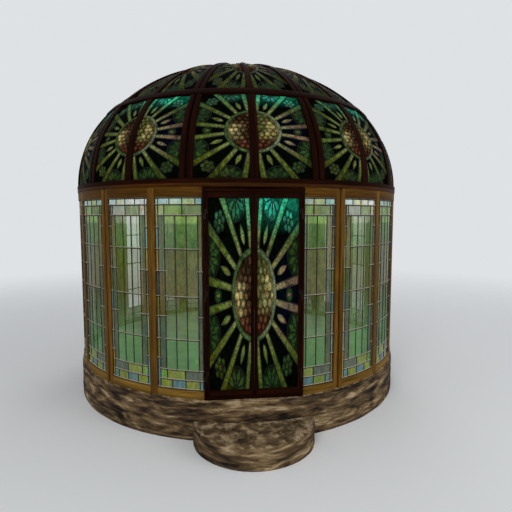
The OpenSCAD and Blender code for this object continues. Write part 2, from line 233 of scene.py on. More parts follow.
def brown_stone():
    """Rough bedded sandstone: long level streaks of brown, nearly black and tan, a gritty face with no gloss, and
    faces that look up painted paler, as light from above makes them.
    """
    material, tree, shader = new_material("brown_bedded_sandstone", Roughness=0.92, Specular_IOR_Level=0.15)
    place = add(tree, "ShaderNodeTexCoord").outputs["Object"]
    beds = add(tree, "ShaderNodeMapping", {
        "Vector": place, "Location": BED_SHIFT, "Scale": (1, 1, BED_FLATNESS)}).outputs[0]
    wide = add(tree, "ShaderNodeTexNoise", {
        "Vector": beds, "Scale": BEDS_PER_METRE, "Detail": 5, "Roughness": 0.6, "Distortion": 0.8})
    streaks = add(tree, "ShaderNodeTexNoise", {
        "Vector": beds, "Scale": STREAKS_PER_METRE, "Detail": 3, "Roughness": 0.5, "Distortion": 0.6})
    # Grit of 10 mm
    grit = add(tree, "ShaderNodeTexNoise", {"Vector": place, "Scale": 1 / 0.010, "Detail": 4, "Roughness": 0.7})
    both = add(tree, "ShaderNodeMix", {
        "Factor": 0.4, "A": wide.outputs["Fac"], "B": streaks.outputs["Fac"]}, data_type="FLOAT")
    gritty = add(tree, "ShaderNodeMix", {
        "Factor": 0.08, "A": both.outputs["Result"], "B": grit.outputs["Fac"]}, data_type="FLOAT").outputs["Result"]
    colour = add(tree, "ShaderNodeValToRGB", {"Fac": gritty}, [
        (0.38, "#120e0a"), (0.44, "#31261b"), (0.5, "#55432e"), (0.56, "#7e6849"), (0.62, "#b19b7a")])
    # Painted light: what faces up is painted paler, as light from above makes it, with a speckle in spots of 110 mm
    facing = add(tree, "ShaderNodeSeparateXYZ", {"Vector": add(tree, "ShaderNodeNewGeometry").outputs["Normal"]})
    painted_top_light = add(tree, "ShaderNodeMapRange", {
        "Value": facing.outputs["Z"], "From Min": 0.5, "From Max": 0.95, "To Max": 0.7}).outputs[0]
    spots = add(tree, "ShaderNodeTexNoise", {
        "Vector": place, "Scale": 1 / 0.11, "Detail": 6, "Roughness": 0.68, "Distortion": 0.4})
    spotted = add(tree, "ShaderNodeValToRGB", {"Fac": spots.outputs["Fac"]}, [
        (0.37, "#241b12"), (0.49, "#6b573c"), (0.61, "#bda685")])
    blended = add(tree, "ShaderNodeMix", {
        "Factor": painted_top_light, "A": colour.outputs["Color"], "B": spotted.outputs["Color"]}, data_type="RGBA")
    tree.links.new(blended.outputs["Result"], shader.inputs["Base Color"])
    bump = add(tree, "ShaderNodeBump", {"Height": gritty, "Strength": 0.5, "Distance": 14 * MM})
    tree.links.new(bump.outputs[0], shader.inputs["Normal"])
    return material


def floor_stone():
    """Honed limestone: pale grey-green with soft clouds and a faint sheen."""
    material, tree, shader = new_material("honed_limestone", Specular_IOR_Level=0.3)
    place = add(tree, "ShaderNodeTexCoord").outputs["Object"]
    # Clouds of a third of a metre
    clouds = add(tree, "ShaderNodeTexNoise", {"Vector": place, "Scale": 3.0, "Detail": 6, "Roughness": 0.6})
    colour = add(tree, "ShaderNodeValToRGB", {"Fac": clouds.outputs["Fac"]}, [
        (0.3, "#b4c4a6"), (0.5, "#c8d6ba"), (0.7, "#dce6ce")])
    tree.links.new(colour.outputs["Color"], shader.inputs["Base Color"])
    rough = add(tree, "ShaderNodeMapRange", {"Value": clouds.outputs["Fac"], "To Min": 0.5, "To Max": 0.8})
    tree.links.new(rough.outputs[0], shader.inputs["Roughness"])
    bump = add(tree, "ShaderNodeBump", {"Height": clouds.outputs["Fac"], "Strength": 0.2, "Distance": 3 * MM})
    tree.links.new(bump.outputs[0], shader.inputs["Normal"])
    return material


def glass(name, roughness, gloss, ripple, low, high, speckle, wisp, through):
    """Hand-made glass: the tint and how much shows through are in the pane's own colours, with streaks in the
    melt a hand's breadth long, yellower and bluer wisps, a speckle of seeds and a rippled face. The streaks go
    from low to high times the tint, and through is the share of shade that the glass still throws."""
    material, tree, shader = new_material(name, Roughness=roughness, Specular_IOR_Level=gloss)
    place = add(tree, "ShaderNodeTexCoord").outputs["Object"]
    tint = add(tree, "ShaderNodeAttribute", attribute_name="tint")
    bay = add(tree, "ShaderNodeAttribute", attribute_name="bay_shade")
    drawn = add(tree, "ShaderNodeMapping", {"Vector": place, "Scale": (1, 1, 0.45)}).outputs[0]
    melt = add(tree, "ShaderNodeTexNoise", {
        "Vector": drawn, "Scale": 1 / 0.06, "Detail": 5, "Roughness": 0.65, "Distortion": 1.0})
    lift = add(tree, "ShaderNodeMapRange", {
        "Value": melt.outputs["Fac"], "From Min": 0.33, "From Max": 0.67, "To Min": low, "To Max": high}).outputs[0]
    drift = add(tree, "ShaderNodeMapRange", {"Value": bay.outputs["Fac"], "To Min": 0.9, "To Max": 1.1}).outputs[0]
    # Seeds are a few millimetres across, drawn in clusters of 20 mm so that they show
    seeds = add(tree, "ShaderNodeTexNoise", {"Vector": place, "Scale": 1 / 0.020, "Detail": 4, "Roughness": 0.7})
    sparks = add(tree, "ShaderNodeMapRange", {
        "Value": seeds.outputs["Fac"], "From Min": 0.36, "From Max": 0.64,
        "To Min": 1 - speckle, "To Max": 1 + speckle}).outputs[0]
    even = add(tree, "ShaderNodeMath", {0: lift, 1: drift}, operation="MULTIPLY").outputs[0]
    level = add(tree, "ShaderNodeMath", {0: even, 1: sparks}, operation="MULTIPLY").outputs[0]
    plain = add(tree, "ShaderNodeVectorMath", {0: tint.outputs["Color"], "Scale": level}, operation="SCALE")
    # Wisps of 90 mm, where the melt was stirred
    stirred = add(tree, "ShaderNodeTexNoise", {
        "Vector": place, "Scale": 1 / 0.09, "Detail": 4, "Roughness": 0.6, "Distortion": 1.5})
    turn = add(tree, "ShaderNodeMapRange", {
        "Value": stirred.outputs["Fac"], "From Min": 0.32, "From Max": 0.68}).outputs[0]
    hue = add(tree, "ShaderNodeMix", {
        "Factor": turn, "A": (1 - wisp, 1 - 0.1 * wisp, 1 + 0.3 * wisp, 1),
        "B": (1 + wisp, 1 + 0.2 * wisp, 1 - 1.2 * wisp, 1)}, data_type="RGBA")
    colour = add(tree, "ShaderNodeVectorMath", {
        0: plain.outputs[0], 1: hue.outputs["Result"]}, operation="MULTIPLY")
    tree.links.new(colour.outputs[0], shader.inputs["Base Color"])
    # Light passes the glass more freely than its face shows
    shadow = add(tree, "ShaderNodeLightPath").outputs["Is Shadow Ray"]
    thinner = add(tree, "ShaderNodeMapRange", {"Value": shadow, "To Min": 1, "To Max": through}).outputs[0]
    solid = add(tree, "ShaderNodeMath", {0: tint.outputs["Alpha"], 1: thinner}, operation="MULTIPLY")
    tree.links.new(solid.outputs[0], shader.inputs["Alpha"])
    waves = add(tree, "ShaderNodeTexNoise", {"Vector": place, "Scale": 1 / 0.03, "Detail": 2})
    bump = add(tree, "ShaderNodeBump", {"Height": waves.outputs["Fac"], "Strength": ripple, "Distance": 1.5 * MM})
    tree.links.new(bump.outputs[0], shader.inputs["Normal"])
    return material


def lead(name, dark, pale, roughness):
    """Drawn lead came, gone dull: nearly black on its sides and underneath, and painted pale where it faces up as a
    painted highlight of the light from above, with rubbed patches a hand's breadth apart."""
    material, tree, shader = new_material(name, Specular_IOR_Level=0.2)
    place = add(tree, "ShaderNodeTexCoord").outputs["Object"]
    facing = add(tree, "ShaderNodeSeparateXYZ", {"Vector": add(tree, "ShaderNodeNewGeometry").outputs["Normal"]})
    patches = add(tree, "ShaderNodeTexNoise", {"Vector": place, "Scale": 1 / 0.08, "Detail": 5, "Roughness": 0.65})
    # Painted highlight: the more the bar faces up, the paler it is painted, as light from above makes it
    painted_top_highlight = add(tree, "ShaderNodeMapRange", {
        "Value": facing.outputs["Z"], "From Min": 0.2, "From Max": 0.7, "To Max": 0.88}).outputs[0]
    rubbed = add(tree, "ShaderNodeMapRange", {
        "Value": patches.outputs["Fac"], "From Min": 0.35, "From Max": 0.75, "To Max": 0.12}).outputs[0]
    level = add(tree, "ShaderNodeMath", {0: painted_top_highlight, 1: rubbed}, operation="ADD").outputs[0]
    colour = add(tree, "ShaderNodeValToRGB", {"Fac": level}, [(0.0, dark), (1.0, pale)])
    tree.links.new(colour.outputs["Color"], shader.inputs["Base Color"])
    rough = add(tree, "ShaderNodeMapRange", {
        "Value": patches.outputs["Fac"], "To Min": roughness - 0.1, "To Max": roughness + 0.15})
    tree.links.new(rough.outputs[0], shader.inputs["Roughness"])
    bump = add(tree, "ShaderNodeBump", {"Height": patches.outputs["Fac"], "Strength": 0.2, "Distance": 1 * MM})
    tree.links.new(bump.outputs[0], shader.inputs["Normal"])
    return material


def bronze():
    """Cast bronze with a dark brown patina, rubbed paler in small clouds."""
    material, tree, shader = new_material("patinated_bronze", Metallic=0.85)
    place = add(tree, "ShaderNodeTexCoord").outputs["Object"]
    clouds = add(tree, "ShaderNodeTexNoise", {"Vector": place, "Scale": 1 / 0.012, "Detail": 4})
    colour = add(tree, "ShaderNodeValToRGB", {"Fac": clouds.outputs["Fac"]}, [(0.35, "#110906"), (0.7, "#2a1a0d")])
    tree.links.new(colour.outputs["Color"], shader.inputs["Base Color"])
    rough = add(tree, "ShaderNodeMapRange", {"Value": clouds.outputs["Fac"], "To Min": 0.35, "To Max": 0.6})
    tree.links.new(rough.outputs[0], shader.inputs["Roughness"])
    return material


sandstone = brown_stone()
limestone = floor_stone()
leaded_glass = glass("leaded_cathedral_glass", roughness=0.15, gloss=0.15, ripple=0.25, low=0.7, high=1.3,
                     speckle=0.15, wisp=0.2, through=0.1)
stained_glass = glass("stained_antique_glass", roughness=0.4, gloss=0.001, ripple=0.35, low=0.4, high=1.6,
                      speckle=0.55, wisp=0.16, through=0.4)
# The pale colours are a painted highlight where the cames face up, and the rubbed patches
wall_lead = lead("wall_lead_came", "#080706", "#bdb3a0", 0.6)
dark_lead = lead("blackened_lead_came", "#040505", "#1a1c1b", 0.6)
dark_bronze = bronze()

# The solids that keep their own shape take their finish
for finish, nodes in ((limestone, ("floor_slab",)),
                      (dark_bronze, ("hinge_pins", "left_leaf_knuckles", "right_leaf_knuckles"))):
    for node in nodes:
        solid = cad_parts[node]
        solid.data.materials.clear()
        solid.data.materials.append(finish)


# Meshes

class Sheet:
    """Corners, faces and corner tints of a mesh in the making."""

    def __init__(self):
        self.corners, self.faces, self.tints = [], [], []

    def face(self, points, tints):
        first = len(self.corners)
        self.corners.extend(points)
        self.faces.append(tuple(range(first, first + len(points))))
        self.tints.extend(tints)

    def mesh(self, name):
        mesh = bpy.data.meshes.new(name)
        mesh.from_pydata([tuple(c) for c in self.corners], [], self.faces)
        layer = mesh.color_attributes.new("tint", "FLOAT_COLOR", "CORNER")
        layer.data.foreach_set("color", [part for tint in self.tints for part in tint])
        mesh.update()
        return mesh


class Lines:
    """The lines that cames follow, and the places of their solder joints."""

    def __init__(self):
        self.corners, self.edges, self.joints, self.outward = [], [], [], []

    def line(self, points):
        first = len(self.corners)
        self.corners.extend(points)
        self.edges.extend((first + k, first + k + 1) for k in range(len(points) - 1))

    def joint(self, point, outward):
        self.joints.append(point)
        self.outward.append(outward)

    def mesh(self, name, came_r, material):
        mesh = bpy.data.meshes.new(name)
        mesh.from_pydata([tuple(c) for c in self.corners], self.edges, [])
        bars = grown(CAME_BARS, mesh, name, {"Radius": came_r, "Finish": material})
        if not self.joints:
            return bars
        dots = bpy.data.meshes.new(name)
        dots.from_pydata([tuple(c) for c in self.joints], [], [])
        facing = dots.attributes.new("outward", "FLOAT_VECTOR", "POINT")
        facing.data.foreach_set("vector", [part for v in self.outward for part in v])
        dots = grown(SOLDER_JOINTS, dots, name, {
            "Radius": came_r * SOLDER_SPREAD, "Height": came_r * SOLDER_RISE, "Finish": material})
        return joined(name, [bars, dots])


def new_tree(name, given, sockets):
    """A Geometry Nodes tree with these named inputs and one geometry out."""
    tree = bpy.data.node_groups.new(name, "GeometryNodeTree")
    tree.interface.new_socket(given, in_out="INPUT", socket_type="NodeSocketGeometry")
    for socket, kind in sockets.items():
        tree.interface.new_socket(socket, in_out="INPUT", socket_type="NodeSocket" + kind)
    tree.interface.new_socket("Made", in_out="OUTPUT", socket_type="NodeSocketGeometry")
    return tree, add(tree, "NodeGroupInput").outputs


def end_tree(tree, geometry, finish):
    """Ends a tree with real geometry in one finish."""
    real = add(tree, "GeometryNodeRealizeInstances", {"Geometry": geometry})
    done = add(tree, "GeometryNodeSetMaterial", {"Geometry": real.outputs[0], "Material": finish})
    add(tree, "NodeGroupOutput", {"Made": done.outputs[0]})
    return tree


def around_axis():
    """Repeats a panel about the room's axis, and gives each one its own shade."""
    tree, given = new_tree("around_axis", "Panel", {
        "Count": "Int", "First": "Float", "Step": "Float", "Seed": "Int", "Finish": "Material"})
    line = add(tree, "GeometryNodeMeshLine", {"Count": given["Count"], "Offset": (0, 0, 0)})
    index = add(tree, "GeometryNodeInputIndex").outputs[0]
    steps = add(tree, "ShaderNodeMath", {0: index, 1: given["Step"], 2: given["First"]}, operation="MULTIPLY_ADD")
    turn = add(tree, "ShaderNodeCombineXYZ", {"Z": steps.outputs[0]})
    ring = add(tree, "GeometryNodeInstanceOnPoints", {
        "Points": line.outputs[0], "Instance": given["Panel"], "Rotation": turn.outputs[0]})
    luck = add(tree, "FunctionNodeRandomValue", {"Seed": given["Seed"]}, data_type="FLOAT")
    marked = add(tree, "GeometryNodeStoreNamedAttribute", {
        "Geometry": ring.outputs[0], "Name": "bay_shade", "Value": luck.outputs[1]},
        data_type="FLOAT", domain="INSTANCE")
    return end_tree(tree, marked.outputs[0], given["Finish"])


def came_bars():
    """Draws a round bar of lead along every line."""
    tree, given = new_tree("came_bars", "Lines", {"Radius": "Float", "Finish": "Material"})
    paths = add(tree, "GeometryNodeMeshToCurve", {"Mesh": given["Lines"]})
    round_bar = add(tree, "GeometryNodeCurvePrimitiveCircle", {"Resolution": 5, "Radius": given["Radius"]})
    bars = add(tree, "GeometryNodeCurveToMesh", {
        "Curve": paths.outputs[0], "Profile Curve": round_bar.outputs[0], "Fill Caps": True})
    smooth = add(tree, "GeometryNodeSetShadeSmooth", {"Geometry": bars.outputs[0]})
    return end_tree(tree, smooth.outputs[0], given["Finish"])


def solder_joints():
    """Sets a flattened drop of solder on every joint, square to the glass."""
    tree, given = new_tree("solder_joints", "Joints", {"Radius": "Float", "Height": "Float", "Finish": "Material"})
    drop = add(tree, "GeometryNodeMeshUVSphere", {"Segments": 8, "Rings": 5, "Radius": 1.0})
    size = add(tree, "ShaderNodeCombineXYZ", {"X": given["Radius"], "Y": given["Radius"], "Z": given["Height"]})
    facing = add(tree, "GeometryNodeInputNamedAttribute", {"Name": "outward"}, data_type="FLOAT_VECTOR")
    turn = add(tree, "FunctionNodeAlignRotationToVector", {"Vector": facing.outputs[0]}, axis="Z")
    drops = add(tree, "GeometryNodeInstanceOnPoints", {
        "Points": given["Joints"], "Instance": drop.outputs[0],
        "Rotation": turn.outputs[0], "Scale": size.outputs[0]})
    smooth = add(tree, "GeometryNodeSetShadeSmooth", {"Geometry": drops.outputs[0]})
    return end_tree(tree, smooth.outputs[0], given["Finish"])


AROUND_AXIS, CAME_BARS, SOLDER_JOINTS = around_axis(), came_bars(), solder_joints()


def grown(tree, mesh, name, values):
    """The plain mesh that a tree makes of another."""
    holder = bpy.data.objects.new(name, mesh)
    bpy.context.scene.collection.objects.link(holder)
    maker = holder.modifiers.new(name, "NODES")
    maker.node_group = tree
    for item in tree.interface.items_tree:
        if item.item_type == "SOCKET" and item.in_out == "INPUT" and item.name in values:
            maker[item.identifier] = values[item.name]
    graph = bpy.context.evaluated_depsgraph_get()
    made = bpy.data.meshes.new_from_object(
        holder.evaluated_get(graph), preserve_all_data_layers=True, depsgraph=graph)
    bpy.data.objects.remove(holder)
    made.name = name
    return made


def around(panel, name, count, first_deg, step_deg, seed, material):
    """A panel repeated about the room's axis."""
    return grown(AROUND_AXIS, panel, name, {
        "Count": count, "First": TURN(first_deg), "Step": TURN(step_deg), "Seed": seed, "Finish": material})


def joined(name, meshes):
    """Several meshes as one."""
    holders = [bpy.data.objects.new(name, m) for m in meshes]
    for holder in holders:
        bpy.context.scene.collection.objects.link(holder)
    with bpy.context.temp_override(active_object=holders[0], selected_editable_objects=holders):
        bpy.ops.object.join()
    mesh = holders[0].data
    bpy.data.objects.remove(holders[0])
    mesh.name = name
    return mesh


def place_piece(name, mesh, body, nodes, material):
    """Puts a finished mesh on a body, in place of the nodes that it stands for."""
    piece = bpy.data.objects.new(name, mesh)
    bpy.context.scene.collection.objects.link(piece)
    mesh.materials.clear()
    mesh.materials.append(material)
    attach(piece, body)
    if nodes:
        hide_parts(*nodes)


# Timbers: the solids with their edges eased by a hand plane

# Corners this near are one, and so are faces that turn by less than the first angle. Edges over the last angle
# are eased, and the shading breaks over the middle one.
WELD = 0.02 * MM
FLAT_DEG, SMOOTH_DEG, SHARP_DEG = 0.2, 32, 35


def eased(node, arris, body, finish):
    """A solid with its sharp edges planed to an arris of this width."""
    mesh = bpy.data.meshes.new(f"eased_{node}")
    work = bmesh.new()
    work.from_mesh(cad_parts[node].data)
    bmesh.ops.remove_doubles(work, verts=work.verts, dist=WELD)
    bmesh.ops.dissolve_limit(work, angle_limit=TURN(FLAT_DEG), verts=work.verts, edges=work.edges)
    sharp = [e for e in work.edges if len(e.link_faces) == 2 and e.calc_face_angle() > TURN(SHARP_DEG)]
    bmesh.ops.bevel(work, geom=sharp, offset=arris, offset_type="OFFSET", segments=2, profile=0.6,
                    affect="EDGES", clamp_overlap=True)
    bmesh.ops.triangulate(work, faces=[f for f in work.faces if len(f.verts) > 4])
    for face in work.faces:
        face.smooth = True
    work.to_mesh(mesh)
    work.free()
    mesh.set_sharp_from_angle(angle=TURN(SMOOTH_DEG))
    place_piece(f"eased_{node}", mesh, body, [node], finish)


# Each solid with the width of its arris in millimetres
for node, arris, slot, finish in (
        ("joint_posts", 7, "golden_oak", golden_oak_upright),
        ("mid_posts", 9, "golden_oak", golden_oak_upright),
        ("sill_rails", 5, "golden_oak", golden_oak_sill),
        ("head_rails", 5, "golden_oak", golden_oak_head),
        ("wall_plate", 5, "dark_oak", dark_oak),
        ("dome_curb", 6, "mahogany", mahogany_around),
        ("lower_main_ribs", 6, "mahogany", mahogany_rib),
        ("lower_mid_ribs", 6, "mahogany", mahogany_rib),
        ("upper_main_ribs", 6, "mahogany", mahogany_rib),
        ("upper_mid_ribs", 6, "mahogany", mahogany_rib),
        ("tier_ring", 8, "mahogany", mahogany_around),
        ("dome_crown", 8, "mahogany", mahogany_around),
        ("door_jambs", 3, "mahogany", mahogany_upright),
        ("door_head", 3, "mahogany", mahogany_level),
        ("door_threshold", 3, "mahogany", mahogany_level),
        ("door_stops", 2, "mahogany", mahogany_upright)):
    eased(node, arris * MM, "gazebo", finish)
for side in ("left", "right"):
    eased(f"{side}_leaf_stiles", 3 * MM, f"{side}_leaf", mahogany_upright)
    eased(f"{side}_leaf_rails", 3 * MM, f"{side}_leaf", mahogany_level)


# A half-round bead on the left leaf's edge closes the gap between the leaves
stiles_low, stiles_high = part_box("left_leaf_stiles")
bead = bmesh.new()
bead_ends = []
for z in (stiles_low[2] + BEAD_END, stiles_high[2] - BEAD_END):
    ring = [(-LEAF_GAP / 2, BEAD_Y - BEAD_HALF), (-LEAF_GAP / 2, BEAD_Y + BEAD_HALF)]
    ring += [(-LEAF_GAP / 2 + (LEAF_GAP - BEAD_CLEAR) * math.cos(TURN(a)), BEAD_Y + BEAD_HALF * math.sin(TURN(a)))
             for a in range(60, -61, -20)]
    bead_ends.append([bead.verts.new((x, y, z)) for x, y in ring])
for k in range(len(bead_ends[0])):
    bead.faces.new((bead_ends[0][k - 1], bead_ends[0][k], bead_ends[1][k], bead_ends[1][k - 1]))
for end in bead_ends:
    bead.faces.new(end)
bmesh.ops.recalc_face_normals(bead, faces=bead.faces)
bead_mesh = bpy.data.meshes.new("meeting_bead")
bead.to_mesh(bead_mesh)
bead.free()
place_piece("meeting_bead", bead_mesh, "left_leaf", [], mahogany_upright)


# Stone base and step: rough faces cut inside the solids' outline

# How deep the face is cut on the average, how much hollows and ledges add, and the least, in millimetres
HEWN_DEPTH, HOLLOW_DEPTH, LEDGE_DEPTH, LEAST_DEPTH = 8, 7, 4, 0.5
# Hollows and ledges to a metre, along the face and up it
HOLLOWS, LEDGES = (2.6, 9.0), (1.1, 26.0)
WORN_EDGE = 12 * MM
TROD_DEPTH = 2 * MM


def hewn_drum(name, node, radius, height, centre):
    """A drum with a hewn side: shallow hollows and ledges along the beds, and a top edge rounded off by wear."""
    turns, levels, rings = 300, 16, 8

    def side(turn, z):
        out = Vector((math.cos(turn), math.sin(turn), 0))
        at = centre + out * radius
        hollow = noise.fractal(Vector((at.x * HOLLOWS[0], at.y * HOLLOWS[0], z * HOLLOWS[1])), 0.9, 2.1, 5)
        ledge = noise.noise(Vector((at.x * LEDGES[0], at.y * LEDGES[0], z * LEDGES[1])))
        cut = max(LEAST_DEPTH, HEWN_DEPTH + HOLLOW_DEPTH * hollow + LEDGE_DEPTH * ledge) * MM
        return at - out * (cut + max(0.0, z - height + WORN_EDGE) * 0.8) + Vector((0, 0, z))

    heights = [height * k / levels for k in range(levels)]
    heights += [height - WORN_EDGE, height - WORN_EDGE * 0.4, height]
    grid = [[side(math.tau * k / turns, z) for k in range(turns)] for z in sorted(set(heights))]
    top = grid[-1]
    middle = centre + Vector((0, 0, height))
    for ring in range(1, rings):
        share = 1 - ring / rings
        trod = [abs(noise.noise(p * share * 3)) * TROD_DEPTH for p in top]
        grid.append([middle + (p - middle) * share - Vector((0, 0, dip)) for p, dip in zip(top, trod)])
    corners = [p for row in grid for p in row] + [middle, centre]
    faces = []
    for row in range(len(grid) - 1):
        a, b = row * turns, (row + 1) * turns
        faces.extend((a + k, a + (k + 1) % turns, b + (k + 1) % turns, b + k) for k in range(turns))
    last = (len(grid) - 1) * turns
    for k in range(turns):
        n = (k + 1) % turns
        faces.extend(((last + k, last + n, len(corners) - 2), (n, k, len(corners) - 1)))
    mesh = bpy.data.meshes.new(name)
    mesh.from_pydata([tuple(c) for c in corners], [], faces)
    mesh.polygons.foreach_set("use_smooth", [True] * len(faces))
    mesh.update()
    place_piece(name, mesh, "gazebo", [node], sandstone)


base_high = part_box("stone_base")[1]
step_low, step_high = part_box("entrance_step")
STEP_R = (step_high[0] - step_low[0]) / 2
hewn_drum("hewn_base", "stone_base", base_high[0], base_high[2], Vector((0, 0, 0)))
hewn_drum("hewn_step", "entrance_step", STEP_R, step_high[2], Vector((0, step_low[1] + STEP_R, 0)))


# Leaded wall lights

# Each light from its left edge to its right, seen from outside, and from its top down
COLUMNS = (0, 0.063, 0.186, 0.395, 0.605, 0.814, 0.937, 1)
HEAD_COLUMNS = (0, 0.063, 0.29, 0.53, 0.77, 1)
SECOND_COLUMNS = (0.063, 0.186, 0.53, 0.89, 0.937)
TOP_ROW, SECOND_ROW, FIELD_FOOT, FOOT_ROW = 0.038, 0.093, 0.897, 0.949
FIELD_BARS = (SECOND_ROW, 0.265, 0.51, 0.735, FIELD_FOOT)
EDGE_BARS = (TOP_ROW, 0.155, 0.265, 0.38, 0.51, 0.617, 0.735, 0.84, 1)
STRIP_BARS = (SECOND_ROW, 0.38, 0.615, FIELD_FOOT)
EDGE_TINTS = ("#a5a37c", "#82a29e", "#a88c46", "#4c584e", "#6f793c", "#86917a", "#77833a", "#628a94")
# The top two rows of a light, and its field from the head down: each row's tints at shares of its height from its
# head, and how solid its glass is. The lights to the left of a middle post are paler.
HEAD_TINTS = ("#aec8ba", "#b6cfcb", "#b1cbc3", "#abc090", "#9ac4c7")
SECOND_TINTS = ("#9fb182", "#82a05a", "#778a58", "#9db08a")
FIELD_ROWS = ((((0, "#8aab62"), (0.19, "#88aa5e"), (0.26, "#5b7d43"), (1, "#527038")), 0.84),
              (((0, "#5f663d"), (1, "#63613a")), 0.93),
              (((0, "#616c2c"), (1, "#69935e")), 0.52), (((0, "#5e9456"), (1, "#5a9354")), 0.58))
PALE_HEAD_TINTS = ("#dde4e3", "#eaecec", "#e4e8e6", "#d2d8ba", "#c9e0e6")
PALE_SECOND_TINTS = ("#c9c0ae", "#8f9f76", "#a7aea3", "#bdb7a8")
PALE_FIELD_ROWS = ((((0, "#a9b89a"), (0.19, "#a3b68c"), (0.26, "#6f9250"), (1, "#628a3c")), 0.56),
                   (((0, "#5d6f20"), (1, "#5d6420")), 0.66), *FIELD_ROWS[2:])
COLUMN_LIGHT = (0.94, 1, 1.07)
# The narrow strips beside the field, by their column
STRIP_TINTS = ((1, ("#596645", "#5e5426", "#4d5c47")), (5, ("#6c6a42", "#4c5641", "#565e4b")))
# The two rows below the field: top, foot, columns, tints and how solid the glass is
FOOT_ROWS = (
    (FIELD_FOOT, FOOT_ROW, (0.063, 0.2, 0.555, 0.937), ("#6f9a44", "#828f40", "#5c655b"), 0.8),
    (FOOT_ROW, 1, (0.063, 0.3, 0.56, 0.825, 0.937), ("#818f35", "#5a7d86", "#7a8638", "#5c848e"), 0.85))
CLEAR_FIELD = (((0, "#c4d4d6"), (1, "#c4d4d6")), 0.1)
# How solid the glass of the other panes is
HEAD_BODY, SECOND_BODY, EDGE_BODY, STRIP_BODY = 0.85, 0.8, 0.75, 0.9
# Each pane is dimmed along its edge, partly by the putty and patina beside the came and partly as a painted shadow of
# the came: its width, what it leaves of the tint, what it adds to the body
PUTTY_AND_SHADOW_RIM = 9 * MM
PUTTY_AND_SHADOW_DIM, PUTTY_AND_SHADOW_BODY = 0.3, 0.25
# Slivers of glass under this width are left out, and cames this near to each other are soldered
SLIVER_DEG = 0.05
SOLDER_DEG, SOLDER_REACH = 0.2, 10 * MM


def light_panes(clear, pale):
    """The panes of one light as left, right, top, foot, (share from the head, tint) and how solid the glass is."""
    panes = []

    def row(top, foot, places, tints, body):
        for a, b, tint in zip(places, places[1:], tints):
            panes.append((a, b, top, foot, [(0, linear(tint)), (1, linear(tint))], body))

    row(0, TOP_ROW, HEAD_COLUMNS, PALE_HEAD_TINTS if pale else HEAD_TINTS, HEAD_BODY)
    row(TOP_ROW, SECOND_ROW, SECOND_COLUMNS, PALE_SECOND_TINTS if pale else SECOND_TINTS, SECOND_BODY)
    for side in (0, 6):
        for k, (a, b) in enumerate(zip(EDGE_BARS, EDGE_BARS[1:])):
            row(a, b, COLUMNS[side:side + 2], (EDGE_TINTS[(k + side // 2) % len(EDGE_TINTS)],), EDGE_BODY)
    for side, tints in STRIP_TINTS:
        for a, b, tint in zip(STRIP_BARS, STRIP_BARS[1:], tints):
            row(a, b, COLUMNS[side:side + 2], (tint,), STRIP_BODY)
    for a, b, field in zip(FIELD_BARS, FIELD_BARS[1:], PALE_FIELD_ROWS if pale else FIELD_ROWS):
        tints, body = CLEAR_FIELD if clear else field
        for k, light in enumerate(COLUMN_LIGHT):
            lit = [(share, tuple(c * light for c in linear(tint))) for share, tint in tints]
            panes.append((COLUMNS[k + 2], COLUMNS[k + 3], a, b, lit, body))
    for foot_row in FOOT_ROWS:
        row(*foot_row)
    return panes


def on_wall(deg, z):
    """A point of the wall's glass at an angle from the doorway."""
    turn = TURN(deg - 90)
    return Vector((GLASS_R * math.cos(turn), GLASS_R * math.sin(turn), z))


def came_runs(spans_at):
    """Spans at each place, merged where they meet, as (place, from, to)."""
    runs = []
    for place, spans in sorted(spans_at.items()):
        spans.sort()
        low, high = spans[0]
        for a, b in spans[1:]:
            if a > high + 1e-6:
                runs.append((place, low, high))
                low, high = a, b
            high = max(high, b)
        runs.append((place, low, high))
    return runs


